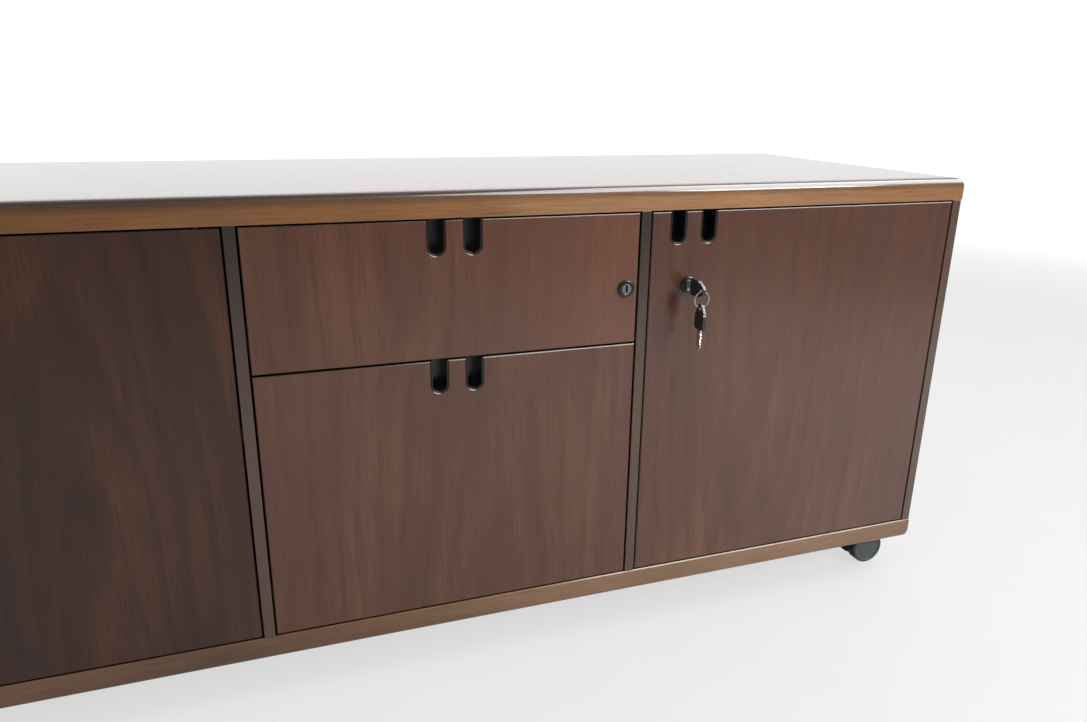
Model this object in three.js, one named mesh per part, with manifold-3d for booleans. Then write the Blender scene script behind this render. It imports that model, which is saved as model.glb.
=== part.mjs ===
// Office credenza on casters: two hinged doors at the ends and two drawers between them.
// Millimetres, +Z up, the front faces -Y, the floor is z = 0.
import * as THREE from 'three';
import { mergeVertices } from 'three/addons/utils/BufferGeometryUtils.js';
import Module from 'manifold-3d';

const wasm = await Module();
wasm.setup();

// Carcass
const bayWidth = 438;
const openingHeight = 470;
const carcassDepth = 450;
const topThickness = 28;
const bottomThickness = 28;
const sideThickness = 15;
const dividerThickness = 12;
const backThickness = 8;
const lippingDepth = 16;
const endRadius = 12;
const topArrisRadius = 9;
const bottomArrisRadius = 5;
const sideArris = 2.5;

// Shelves, let into grooves
const shelfThickness = 18;
const shelfHeight = 226;
const shelfSetback = 38;
const grooveDepth = 5;

// Doors and drawer fronts
const reveal = 2;
const frontThickness = 18;
const frontArris = 1;
const upperFrontHeight = 153;

// Twin-slot pulls and their moulded liner
const slotWidth = 20;
const slotPitch = 40;
const slotDepth = 38;
const doorPullInset = 54;
const linerWall = 1.6;
const linerReach = 26;
const linerRimSetback = 0.8;
const linerFlangeMargin = 5;
const linerFlangeThickness = 2;

// Pivot hinges
const pinInset = 22;
const pinSetback = 8;
const pinRadius = 3;
const pinEngagement = 2.6;
const pinShoulderRadius = 4.2;
const leafLength = 52;
const leafWidth = 9;
const leafThickness = 3;

// Locks
const lockDrop = 87;
const doorLockInset = 51;
const drawerLockInset = 14.5;
const rosetteRadius = 10;
const rosetteProud = 3.5;
const rosetteArris = 0.8;
const barrelRadius = 8;
const nutRadius = 11;
const nutThickness = 3;
const barrelTail = 2;
const plugRadius = 6;
const plugSetback = 0.6;
const keywayWidth = 2.4;
const keywayHeight = 9;
const keywayDepth = 21;
const camWidth = 10;
const camThickness = 2.5;
const camThrow = 4.5;
const keeperClearance = 2;

// Keys and ring
const bladeThickness = 1.8;
const bladeHeight = 8;
const bladeLength = 25;
const bladeNotch = 1.8;
const keyStandOff = 5.5;
const keyHeadLength = 31;
const keyGripLength = 21;
const keyHeadWidth = 20;
const keyHeadThickness = 4.6;
const keyHeadCorner = 6;
const keyHoleRadius = 2.5;
const keyHoleMargin = 5.5;
const ringRadius = 9.3;
const ringWire = 0.8;

// Drawer boxes and runners
const boxBackGap = 24;
const boxWall = 1.5;
const boxRim = 9;
const boxLift = 8;
const boxHeadroom = 3;
const runnerSpace = 13;
const runnerLift = 22;
const runnerSetback = 32;
const runnerBackGap = 10;
const runnerStop = 20;
const runnerHeight = 36;
const runnerChannel = 10;
const runnerLip = 4;
const runnerWall = 1.5;
const lockNotchMargin = 2;

// Casters
const casterHeight = 58;
const casterInset = 58;
const casterTrail = 20;
const plateSize = 44;
const plateThickness = 2.5;
const stemRadius = 4;
const stemLength = 25;
const washerRadius = 5.8;
const wheelRadius = 25;
const wheelWidth = 17;
const wheelArris = 3;
const wheelDish = 2.5;
const hubRadius = 8;
const axleRadius = 4;
const webThickness = 12;
const hoodThickness = 2.8;
const hoodLift = 1;
const hoodTrailAngle = 30;

// Clearances
const seatGap = 0.3;
const runGap = 1.2;

// Facets
const arcSteps = 4;
const slotSteps = 8;
const roundSides = 16;
const wheelSides = 20;

// Levels and faces worked out from the driving dimensions
const bayPitch = bayWidth + dividerThickness;
const halfWidth = 1.5 * bayWidth + dividerThickness + sideThickness;
const sideFace = halfWidth - sideThickness;
const dividerFace = bayWidth / 2;
const bottomFloor = casterHeight + bottomThickness;
const topCeiling = bottomFloor + openingHeight;
const doorWidth = bayWidth - 2 * reveal;
const doorHeight = openingHeight - 2 * reveal;
const lowerFrontHeight = doorHeight - upperFrontHeight - reveal;
const frontFloor = bottomFloor + reveal;
const frontCeiling = topCeiling - reveal;
const upperFrontFloor = frontCeiling - upperFrontHeight;
const lowerFrontCeiling = frontFloor + lowerFrontHeight;
const backFace = carcassDepth - backThickness;
const boxDepth = backFace - frontThickness - boxBackGap;
const runnerLength = backFace - runnerSetback - runnerBackGap;
const drawerRunnerLength = runnerLength - runnerStop;
const lockHeight = frontCeiling - lockDrop;
const keyHoleReach = rosetteProud + keyStandOff + keyHeadLength - keyHoleMargin;
const keyReach = Math.max(keyHoleReach + keyHeadWidth / 2, keyHoleReach + keyHoleMargin);

const veneer = { color: 0x5f463b, roughness: 0.42, metalness: 0 };
const lipping = { color: 0x8f6746, roughness: 0.38, metalness: 0 };
const blackPlastic = { color: 0x0c0c0d, roughness: 0.3, metalness: 0 };
const wheelPlastic = { color: 0x2c2c2e, roughness: 0.55, metalness: 0 };
const zincSteel = { color: 0xb4b6b8, roughness: 0.35, metalness: 1 };
const greyPaint = { color: 0x4a4c4f, roughness: 0.5, metalness: 0.2 };
const nickel = { color: 0xa8a6a2, roughness: 0.25, metalness: 1 };
const blackMetal = { color: 0x141415, roughness: 0.28, metalness: 0.4 };

// Everything is placed from the front plane (y = 0); this group centres the footprint on the origin.
const credenza = new THREE.Group();
const assembly = new THREE.Group();
assembly.position.y = (keyReach - carcassDepth) / 2;
credenza.add(assembly);

function addMesh(name, geometry, finish, parent = assembly) {
  const mesh = new THREE.Mesh(geometry, new THREE.MeshStandardMaterial(finish));
  mesh.name = name;
  parent.add(mesh);
}

// Solid operations
function toSolid(geometry) {
  const bare = geometry.clone();
  bare.deleteAttribute('normal');
  bare.deleteAttribute('uv');
  const merged = mergeVertices(bare, 1e-4);
  const vertProperties = new Float32Array(merged.attributes.position.array);
  const triVerts = new Uint32Array(merged.index.array);
  return new wasm.Manifold(new wasm.Mesh({ numProp: 3, vertProperties, triVerts }));
}

function toGeometry(solid) {
  const mesh = solid.getMesh();
  const geometry = new THREE.BufferGeometry();
  geometry.setAttribute('position', new THREE.BufferAttribute(mesh.vertProperties, 3));
  geometry.setIndex(new THREE.BufferAttribute(mesh.triVerts, 1));
  geometry.computeVertexNormals();
  return geometry;
}

function cut(base, ...tools) {
  return toGeometry(tools.reduce((solid, tool) => solid.subtract(toSolid(tool)), toSolid(base)));
}

function join(base, ...others) {
  return toGeometry(others.reduce((solid, other) => solid.add(toSolid(other)), toSolid(base)));
}

function common(first, second) {
  return toGeometry(toSolid(first).intersect(toSolid(second)));
}

// Basic forms
function block([x0, x1], [y0, y1], [z0, z1]) {
  const geometry = new THREE.BoxGeometry(x1 - x0, y1 - y0, z1 - z0);
  return geometry.translate((x0 + x1) / 2, (y0 + y1) / 2, (z0 + z1) / 2);
}

// A shape drawn in (x, z), extruded from front y0 to back y1
function extrudeAlongY(shape, [y0, y1], arris = 0, steps = arcSteps) {
  const geometry = new THREE.ExtrudeGeometry(shape, {
    depth: y1 - y0 - 2 * arris,
    curveSegments: steps,
    bevelEnabled: arris > 0,
    bevelThickness: arris,
    bevelSize: arris,
    bevelOffset: -arris,
    bevelSegments: 1,
  });
  return geometry.rotateX(Math.PI / 2).translate(0, y1 - arris, 0);
}

// A shape drawn in (y, z), extruded from x0 to x1
function extrudeAlongX(shape, [x0, x1]) {
  const geometry = new THREE.ExtrudeGeometry(shape, {
    depth: x1 - x0,
    curveSegments: arcSteps,
    bevelEnabled: false,
  });
  const turn = new THREE.Matrix4().set(0, 0, 1, 0, 1, 0, 0, 0, 0, 1, 0, 0, 0, 0, 0, 1);
  return geometry.applyMatrix4(turn).translate(x0, 0, 0);
}

// A shape drawn in (x, y), extruded from z0 to z1
function extrudeAlongZ(shape, [z0, z1]) {
  const geometry = new THREE.ExtrudeGeometry(shape, {
    depth: z1 - z0,
    curveSegments: arcSteps,
    bevelEnabled: false,
  });
  return geometry.translate(0, 0, z0);
}

// A profile of [radius, y] points turned about the Y axis
function turnedAboutY(profile, sides = roundSides) {
  const points = profile.map(([radius, y]) => new THREE.Vector2(radius, y));
  return new THREE.LatheGeometry(points, sides);
}

function uprightCylinder(radius, [z0, z1]) {
  const geometry = new THREE.CylinderGeometry(radius, radius, z1 - z0, roundSides);
  return geometry.rotateX(Math.PI / 2).translate(0, 0, (z0 + z1) / 2);
}

// A round hole as a path of straight sides that all clear the given radius
function roundHole(x, y, radius) {
  const reach = radius / Math.cos(Math.PI / roundSides);
  const corners = Array.from({ length: roundSides }, (_, i) => {
    const angle = (2 * Math.PI * i) / roundSides;
    return new THREE.Vector2(x + reach * Math.cos(angle), y + reach * Math.sin(angle));
  });
  return new THREE.Path(corners);
}

// Long board with round upper corners at both ends and a round upper front arris, resting on z = 0
function edgedBoard(thickness, arrisRadius) {
  const outline = new THREE.Shape();
  outline.moveTo(-halfWidth, 0);
  outline.lineTo(halfWidth, 0);
  outline.lineTo(halfWidth, thickness - endRadius);
  outline.absarc(halfWidth - endRadius, thickness - endRadius, endRadius, 0, Math.PI / 2);
  outline.lineTo(endRadius - halfWidth, thickness);
  outline.absarc(endRadius - halfWidth, thickness - endRadius, endRadius, Math.PI / 2, Math.PI);
  const section = new THREE.Shape();
  section.moveTo(carcassDepth, 0);
  section.lineTo(carcassDepth, thickness);
  section.lineTo(arrisRadius, thickness);
  section.absarc(arrisRadius, thickness - arrisRadius, arrisRadius, Math.PI / 2, Math.PI);
  section.lineTo(0, 0);
  const ends = extrudeAlongY(outline, [0, carcassDepth]);
  return common(ends, extrudeAlongX(section, [-halfWidth, halfWidth]));
}

function depthSlice(board, depthRange) {
  return common(board, block([-halfWidth, halfWidth], depthRange, [0, topCeiling + topThickness]));
}

// Pivot hinge leaf lying in the XY plane, its pin end round, the rest running towards -X
function leafShape(clearance = 0) {
  const half = leafWidth / 2 + clearance;
  const farEnd = leafWidth / 2 - leafLength - clearance;
  const shape = new THREE.Shape();
  shape.moveTo(farEnd, half);
  shape.lineTo(farEnd, -half);
  shape.lineTo(0, -half);
  shape.absarc(0, 0, half, -Math.PI / 2, Math.PI / 2);
  return shape;
}

// The recess that takes a leaf flush in a horizontal face at the given height
function leafPocket(pinX, faceHeight) {
  const recess = extrudeAlongZ(leafShape(seatGap), [faceHeight - leafThickness, faceHeight + leafThickness]);
  return recess.translate(pinX, pinSetback, 0);
}

// The two doors hang on their right edges, so their pulls and locks are near their left edges
const doors = [['left', -bayPitch], ['right', bayPitch]].map(([side, centre]) => ({
  side,
  centre,
  pinX: centre + doorWidth / 2 - pinInset,
  lockX: centre - doorWidth / 2 + doorLockInset,
  pullX: centre - doorWidth / 2 + doorPullInset,
}));
const drawerLockX = doorWidth / 2 - drawerLockInset;

// Cams reach from their lock into the upright beside it
const camFront = frontThickness + nutThickness + barrelTail + seatGap;
const doorCamLength = doorLockInset + reveal + camThrow;
const drawerCamLength = drawerLockInset + reveal + camThrow;

// The slot in an upright that the corner of a cam sweeps into as the cam turns up from below
function keeperSlot(xRange, camLength) {
  const depthRange = [camFront - keeperClearance, camFront + camThickness + keeperClearance];
  const faceDistance = camLength - camThrow;
  const sweep = Math.sqrt(camLength ** 2 + (camWidth / 2) ** 2 - faceDistance ** 2);
  const floor = lockHeight - sweep - keeperClearance;
  return block(xRange, depthRange, [floor, lockHeight + camWidth / 2 + keeperClearance]);
}

// The groove that a shelf end slides into from behind
function shelfGroove(xRange) {
  const floor = bottomFloor + shelfHeight;
  return block(xRange, [shelfSetback - seatGap, backFace], [floor, floor + shelfThickness + seatGap]);
}

function buildBoards() {
  const top = edgedBoard(topThickness, topArrisRadius).translate(0, 0, topCeiling);
  const bottom = edgedBoard(bottomThickness, bottomArrisRadius).rotateY(Math.PI);
  bottom.translate(0, 0, bottomFloor);
  const topPockets = doors.map(({ pinX }) => leafPocket(pinX, topCeiling));
  const bottomPockets = doors.map(({ pinX }) => leafPocket(pinX, bottomFloor));
  addMesh('top_board', depthSlice(top, [lippingDepth, carcassDepth]), veneer);
  addMesh('top_lipping', cut(depthSlice(top, [0, lippingDepth]), ...topPockets), lipping);
  addMesh('bottom_board', depthSlice(bottom, [lippingDepth, carcassDepth]), veneer);
  addMesh('bottom_lipping', cut(depthSlice(bottom, [0, lippingDepth]), ...bottomPockets), lipping);
}

// Side panel with an eased outer front arris; direction is -1 on the left and 1 on the right
function sidePanel(direction) {
  const plan = new THREE.Shape();
  plan.moveTo(direction * sideFace, 0);
  plan.lineTo(direction * (halfWidth - sideArris), 0);
  plan.lineTo(direction * halfWidth, sideArris);
  plan.lineTo(direction * halfWidth, carcassDepth);
  plan.lineTo(direction * sideFace, carcassDepth);
  return extrudeAlongZ(plan, [bottomFloor, topCeiling]);
}

function buildUprights() {
  const outerBay = dividerFace + dividerThickness;
  const upright = [bottomFloor, topCeiling];
  const leftGroove = shelfGroove([-sideFace - grooveDepth, -outerBay + grooveDepth]);
  const rightGroove = shelfGroove([outerBay - grooveDepth, sideFace + grooveDepth]);
  const leftKeeperDepth = [-sideFace - camThrow - keeperClearance, -sideFace + keeperClearance];
  const rightKeeperDepth = [dividerFace - keeperClearance, outerBay + keeperClearance];
  const leftKeeper = keeperSlot(leftKeeperDepth, doorCamLength);
  const rightKeeper = keeperSlot(rightKeeperDepth, Math.max(doorCamLength, drawerCamLength));
  const leftDivider = block([-outerBay, -dividerFace], [0, backFace], upright);
  const rightDivider = block([dividerFace, outerBay], [0, backFace], upright);
  addMesh('side_panel_left', cut(sidePanel(-1), leftGroove, leftKeeper), veneer);
  addMesh('side_panel_right', cut(sidePanel(1), rightGroove), veneer);
  addMesh('divider_left', cut(leftDivider, leftGroove), veneer);
  addMesh('divider_right', cut(rightDivider, rightGroove, rightKeeper), veneer);
  addMesh('back_panel', block([-sideFace, sideFace], [backFace, carcassDepth], upright), veneer);
}

function buildShelf({ side, centre }) {
  const half = bayWidth / 2 + grooveDepth - seatGap;
  const floor = bottomFloor + shelfHeight;
  const depthRange = [shelfSetback, backFace - seatGap];
  const shelf = block([centre - half, centre + half], depthRange, [floor, floor + shelfThickness]);
  addMesh(`shelf_${side}`, shelf, veneer);
}

// Outline of one pull slot in (x, z), round at the bottom, shrunk by inset and open at the top edge
function slotShape(x, top, inset, rise) {
  const radius = slotWidth / 2 - inset;
  const low = top - slotDepth + slotWidth / 2;
  const shape = new THREE.Shape();
  shape.moveTo(x + radius, top + rise);
  shape.lineTo(x - radius, top + rise);
  shape.lineTo(x - radius, low);
  shape.absarc(x, low, radius, Math.PI, 2 * Math.PI);
  return shape;
}

function slotCentres(pullX) {
  return [pullX - slotPitch / 2, pullX + slotPitch / 2];
}

// Door or drawer front with eased arrises, two slots open at the top edge and an optional lock bore
function frontPanel(centre, [floor, ceiling], pullX, lockX) {
  const shape = new THREE.Shape();
  const radius = slotWidth / 2;
  const low = ceiling - slotDepth + radius;
  shape.moveTo(centre - doorWidth / 2, ceiling);
  shape.lineTo(centre - doorWidth / 2, floor);
  shape.lineTo(centre + doorWidth / 2, floor);
  shape.lineTo(centre + doorWidth / 2, ceiling);
  for (const x of slotCentres(pullX).reverse()) {
    shape.lineTo(x + radius, ceiling);
    shape.lineTo(x + radius, low);
    shape.absarc(x, low, radius, 0, -Math.PI, true);
    shape.lineTo(x - radius, ceiling);
  }
  if (lockX !== undefined) {
    shape.holes.push(roundHole(lockX, lockHeight, barrelRadius + seatGap));
  }
  return extrudeAlongY(shape, [0, frontThickness], frontArris, slotSteps);
}

// One moulding lines both slots: two open tubs with closed backs, joined by a flange behind the front
function pullLiner(pullX, ceiling) {
  const flangeHalf = slotPitch / 2 + slotWidth / 2 + linerFlangeMargin;
  const flange = block(
    [pullX - flangeHalf, pullX + flangeHalf],
    [frontThickness, frontThickness + linerFlangeThickness],
    [ceiling - slotDepth - linerFlangeMargin, ceiling],
  );
  const tubs = slotCentres(pullX).map((x) => (
    extrudeAlongY(slotShape(x, ceiling, seatGap, 0), [linerRimSetback, linerReach], 0, slotSteps)
  ));
  const hollowDepth = [0, linerReach - linerWall];
  const hollows = slotCentres(pullX).map((x) => (
    extrudeAlongY(slotShape(x, ceiling, seatGap + linerWall, slotWidth), hollowDepth, 0, slotSteps)
  ));
  return cut(join(flange, ...tubs), ...hollows);
}

// Rosette, barrel and fixing nut of a cam lock, bored for its plug
function lockHousing() {
  const bore = plugRadius + seatGap;
  const nutEnd = frontThickness + nutThickness;
  return turnedAboutY([
    [bore, -rosetteProud],
    [rosetteRadius - rosetteArris, -rosetteProud],
    [rosetteRadius, rosetteArris - rosetteProud],
    [rosetteRadius, 0],
    [barrelRadius, 0],
    [barrelRadius, frontThickness],
    [nutRadius, frontThickness],
    [nutRadius, nutEnd],
    [barrelRadius, nutEnd],
    [barrelRadius, nutEnd + barrelTail],
    [bore, nutEnd + barrelTail],
    [bore, -rosetteProud],
  ]);
}

// Plug with its keyway and a straight cam that hangs down when unlocked
function lockPlug(camLength) {
  const face = plugSetback - rosetteProud;
  const camBack = camFront + camThickness;
  const barrel = turnedAboutY([[0, face], [plugRadius, face], [plugRadius, camBack], [0, camBack]]);
  const cam = new THREE.Shape();
  cam.moveTo(camWidth / 2, 0);
  cam.absarc(0, 0, plugRadius, 0, Math.PI);
  cam.lineTo(-camWidth / 2, -camLength);
  cam.lineTo(camWidth / 2, -camLength);
  const keyway = block(
    [-keywayWidth / 2, keywayWidth / 2],
    [face - plugRadius, face + keywayDepth],
    [-keywayHeight / 2, keywayHeight / 2],
  );
  return cut(join(barrel, extrudeAlongY(cam, [camFront, camBack])), keyway);
}

function buildLock(name, x, camLength) {
  addMesh(`${name}_lock_housing`, lockHousing().translate(x, 0, lockHeight), blackMetal);
  addMesh(`${name}_lock_plug`, lockPlug(camLength).translate(x, 0, lockHeight), nickel);
}

// Hinge leaf let into the carcass, with a shouldered pin; direction 1 points the pin up, -1 down
function carcassLeaf(direction) {
  const plate = extrudeAlongZ(leafShape(), [-leafThickness, 0]);
  const shoulder = uprightCylinder(pinShoulderRadius, [-leafThickness / 2, reveal - seatGap]);
  const pin = uprightCylinder(pinRadius, [-leafThickness / 2, reveal + pinEngagement]);
  const leaf = join(plate, shoulder, pin);
  return direction > 0 ? leaf : leaf.rotateX(Math.PI);
}

function doorLeaf([floor, ceiling]) {
  const hole = uprightCylinder(pinRadius + seatGap, [floor - leafThickness, ceiling + leafThickness]);
  return cut(extrudeAlongZ(leafShape(), [floor, ceiling]), hole);
}

function buildDoor({ side, centre, pinX, lockX, pullX }) {
  const panel = frontPanel(centre, [frontFloor, frontCeiling], pullX, lockX);
  const pockets = [leafPocket(pinX, frontFloor), leafPocket(pinX, frontCeiling)];
  addMesh(`door_${side}`, cut(panel, ...pockets), veneer);
  addMesh(`door_${side}_pull_liner`, pullLiner(pullX, frontCeiling), blackPlastic);
  buildLock(`door_${side}`, lockX, doorCamLength);
  const lowerLeaf = doorLeaf([frontFloor, frontFloor + leafThickness]).translate(pinX, pinSetback, 0);
  const upperLeaf = doorLeaf([frontCeiling - leafThickness, frontCeiling]).translate(pinX, pinSetback, 0);
  addMesh(`door_${side}_lower_leaf`, lowerLeaf, nickel);
  addMesh(`door_${side}_upper_leaf`, upperLeaf, nickel);
  addMesh(`carcass_${side}_lower_leaf`, carcassLeaf(1).translate(pinX, pinSetback, bottomFloor), nickel);
  addMesh(`carcass_${side}_upper_leaf`, carcassLeaf(-1).translate(pinX, pinSetback, topCeiling), nickel);
}

// Folded steel box with rims turned in along its sides
function drawerBox([floor, ceiling]) {
  const half = bayWidth / 2 - runnerSpace;
  const inner = half - boxWall;
  const rim = half - boxRim;
  const back = frontThickness + boxDepth;
  const hollow = new THREE.Shape([
    [-inner, floor + boxWall], [inner, floor + boxWall], [inner, ceiling - boxWall], [rim, ceiling - boxWall],
    [rim, ceiling + boxRim], [-rim, ceiling + boxRim], [-rim, ceiling - boxWall], [-inner, ceiling - boxWall],
  ].map(([x, z]) => new THREE.Vector2(x, z)));
  const body = block([-half, half], [frontThickness, back], [floor, ceiling]);
  return cut(body, extrudeAlongY(hollow, [frontThickness + boxWall, back - boxWall]));
}

// Room in the corner of the upper box for the lock's nut and its cam
function lockNotch() {
  const reach = nutRadius + lockNotchMargin;
  return block(
    [drawerLockX - reach, dividerFace],
    [0, camFront + camThickness + lockNotchMargin],
    [lockHeight - drawerCamLength - lockNotchMargin, lockHeight + reach],
  );
}

// Runner sections in (distance from the divider, height about the runner's centre)
function cabinetRunnerSection() {
  const half = runnerHeight / 2;
  const lip = half - runnerLip;
  return [
    [0, -half], [runnerChannel, -half], [runnerChannel, -lip], [runnerChannel - runnerWall, -lip],
    [runnerChannel - runnerWall, runnerWall - half], [runnerWall, runnerWall - half],
    [runnerWall, half - runnerWall], [runnerChannel - runnerWall, half - runnerWall],
    [runnerChannel - runnerWall, lip], [runnerChannel, lip], [runnerChannel, half], [0, half],
  ];
}

function drawerRunnerSection() {
  const neck = runnerHeight / 2 - runnerLip - seatGap;
  const hook = runnerHeight / 2 - runnerWall - seatGap;
  const inside = runnerChannel / 2;
  return [
    [runnerSpace, neck], [inside + runnerWall, neck], [inside + runnerWall, hook], [inside, hook],
    [inside, neck - runnerWall], [runnerSpace - runnerWall, neck - runnerWall],
    [runnerSpace - runnerWall, runnerWall - neck], [inside, runnerWall - neck], [inside, -hook],
    [inside + runnerWall, -hook], [inside + runnerWall, -neck], [runnerSpace, -neck],
  ];
}

function runner(section, direction, height, length) {
  const outline = section.map(([u, w]) => new THREE.Vector2(direction * (dividerFace - u), height + w));
  return extrudeAlongY(new THREE.Shape(outline), [runnerSetback, runnerSetback + length]);
}

function buildDrawer(level, [floor, ceiling], lockX) {
  const boxFloor = floor + boxLift;
  const boxCeiling = ceiling - slotDepth - linerFlangeMargin - boxHeadroom;
  const box = drawerBox([boxFloor, boxCeiling]);
  const runnerHeightAt = boxFloor + runnerLift;
  addMesh(`drawer_${level}_front`, frontPanel(0, [floor, ceiling], 0, lockX), veneer);
  addMesh(`drawer_${level}_pull_liner`, pullLiner(0, ceiling), blackPlastic);
  addMesh(`drawer_${level}_box`, lockX === undefined ? box : cut(box, lockNotch()), greyPaint);
  for (const [side, direction] of [['left', -1], ['right', 1]]) {
    const moving = runner(drawerRunnerSection(), direction, runnerHeightAt, drawerRunnerLength);
    const fixed = runner(cabinetRunnerSection(), direction, runnerHeightAt, runnerLength);
    addMesh(`drawer_${level}_runner_${side}`, moving, zincSteel);
    addMesh(`cabinet_${level}_runner_${side}`, fixed, zincSteel);
  }
}

// Key parts with the shoulder at the origin, the tip towards +Y and the flat in the YZ plane.
// The flat is one stamping: the round bow with the ring's hole, the tang and the notched blade.
function keyBlade() {
  const half = bladeHeight / 2;
  const bowStart = -keyGripLength - seatGap;
  const hole = keyHoleMargin - keyHeadLength;
  const outline = new THREE.Shape();
  outline.moveTo(bowStart, -half);
  outline.lineTo(bowStart, -keyHoleMargin);
  outline.absarc(hole, 0, keyHoleMargin, -Math.PI / 2, Math.PI / 2, true);
  outline.lineTo(bowStart, keyHoleMargin);
  outline.lineTo(bowStart, half);
  outline.lineTo(bladeLength - half, half);
  outline.lineTo(bladeLength, 0);
  const notches = 4;
  const pitch = (bladeLength - half) / (notches + 1);
  for (let i = notches; i > 0; i -= 1) {
    outline.lineTo((i + 0.5) * pitch, -half);
    outline.lineTo(i * pitch, bladeNotch - half);
  }
  outline.lineTo(pitch / 2, -half);
  outline.holes.push(roundHole(hole, 0, keyHoleRadius));
  return extrudeAlongX(outline, [-bladeThickness / 2, bladeThickness / 2]);
}

// Moulded grip around the tang, open at both ends
function keyHead() {
  const half = keyHeadWidth / 2;
  const far = -keyGripLength;
  const outline = new THREE.Shape();
  outline.moveTo(0, -half + keyHeadCorner);
  outline.absarc(-keyHeadCorner, half - keyHeadCorner, keyHeadCorner, 0, Math.PI / 2);
  outline.absarc(far + keyHeadCorner, half - keyHeadCorner, keyHeadCorner, Math.PI / 2, Math.PI);
  outline.absarc(far + keyHeadCorner, keyHeadCorner - half, keyHeadCorner, Math.PI, 1.5 * Math.PI);
  outline.absarc(-keyHeadCorner, keyHeadCorner - half, keyHeadCorner, 1.5 * Math.PI, 2 * Math.PI);
  const body = extrudeAlongX(outline, [-keyHeadThickness / 2, keyHeadThickness / 2]);
  const socketHalf = bladeThickness / 2 + seatGap;
  const socketRise = bladeHeight / 2 + seatGap;
  const socketLength = [far - seatGap, seatGap];
  const socket = block([-socketHalf, socketHalf], socketLength, [-socketRise, socketRise]);
  return cut(body, socket);
}

// The ring hangs in the key's hole, and the spare key hangs on the ring
function buildKeys(lockX) {
  const holeSlack = keyHoleRadius - ringWire - seatGap;
  const key = new THREE.Group();
  key.position.set(lockX, -rosetteProud - keyStandOff, lockHeight);
  addMesh('key_blade', keyBlade(), nickel, key);
  addMesh('key_head', keyHead(), blackPlastic, key);
  const ring = new THREE.TorusGeometry(ringRadius, ringWire, 8, wheelSides).rotateX(Math.PI / 2);
  const ringCentre = lockHeight - holeSlack - ringRadius;
  addMesh('key_ring', ring.translate(lockX, -keyHoleReach, ringCentre), nickel);
  const spare = new THREE.Group();
  const spareShoulder = ringCentre - ringRadius - holeSlack - keyHeadLength + keyHoleMargin;
  spare.position.set(lockX, -keyHoleReach, spareShoulder);
  spare.rotation.x = -Math.PI / 2;
  addMesh('spare_key_blade', keyBlade(), nickel, spare);
  addMesh('spare_key_head', keyHead(), blackPlastic, spare);
  assembly.add(key, spare);
}

// Caster pieces about their swivel axis, the wheels trailing towards +X
const wheelInner = webThickness / 2 + runGap;
const wheelOuter = wheelInner + wheelWidth;

function casterPlate() {
  const half = plateSize / 2;
  const underside = casterHeight - plateThickness;
  const plate = block([-half, half], [-half, half], [underside, casterHeight]);
  const washer = uprightCylinder(washerRadius, [underside - hoodLift + seatGap, casterHeight - seatGap]);
  const stem = uprightCylinder(stemRadius, [underside - stemLength, casterHeight - seatGap]);
  return join(plate, washer, stem);
}

// Fender over both wheels on a web between them, with the stem's socket and the axle's bearing
function casterHood() {
  const inner = wheelRadius + runGap;
  const outer = inner + hoodThickness;
  const crown = casterHeight - plateThickness - hoodLift;
  const half = webThickness / 2;
  const trailEnd = THREE.MathUtils.degToRad(hoodTrailAngle);
  const fender = new THREE.Shape();
  fender.absarc(0, 0, outer, trailEnd, Math.PI);
  fender.absarc(0, 0, inner, Math.PI, trailEnd, true);
  const web = new THREE.Shape();
  web.moveTo(0, 0);
  web.absarc(0, 0, inner + hoodThickness / 2, trailEnd, Math.PI);
  const bearing = turnedAboutY([[0, -half], [hubRadius, -half], [hubRadius, half], [0, half]]);
  const neckHalf = stemRadius + hoodThickness;
  const neck = block([-neckHalf, neckHalf], [-half, half], [wheelRadius, crown]);
  const socket = uprightCylinder(stemRadius + seatGap, [
    casterHeight - plateThickness - stemLength - seatGap, casterHeight,
  ]);
  const bore = axleRadius + seatGap;
  const axleBore = turnedAboutY([[0, -wheelOuter], [bore, -wheelOuter], [bore, wheelOuter], [0, wheelOuter]]);
  const round = [
    extrudeAlongY(fender, [-wheelOuter, wheelOuter]),
    extrudeAlongY(web, [-half, half]),
    bearing,
  ].map((geometry) => geometry.translate(casterTrail, 0, wheelRadius));
  return cut(join(neck, ...round), socket, axleBore.translate(casterTrail, 0, wheelRadius));
}

// Two dished wheels on one axle
function casterWheels() {
  const rim = wheelRadius - 2 * wheelArris;
  const half = [
    [hubRadius, -wheelOuter],
    [hubRadius, wheelDish - wheelOuter],
    [rim - wheelDish, wheelDish - wheelOuter],
    [rim, -wheelOuter],
    [wheelRadius - wheelArris, -wheelOuter],
    [wheelRadius, wheelArris - wheelOuter],
    [wheelRadius, -wheelInner],
    [axleRadius, -wheelInner],
  ];
  const mirrored = half.map(([radius, y]) => [radius, -y]).reverse();
  const profile = [[0, -wheelOuter], ...half, ...mirrored, [0, wheelOuter]];
  return turnedAboutY(profile, wheelSides).translate(casterTrail, 0, wheelRadius);
}

function buildCaster(name, x, y) {
  const caster = new THREE.Group();
  caster.position.set(x, y, 0);
  addMesh(`caster_${name}_plate`, casterPlate(), zincSteel, caster);
  addMesh(`caster_${name}_hood`, casterHood(), blackPlastic, caster);
  addMesh(`caster_${name}_wheels`, casterWheels(), wheelPlastic, caster);
  assembly.add(caster);
}

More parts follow.
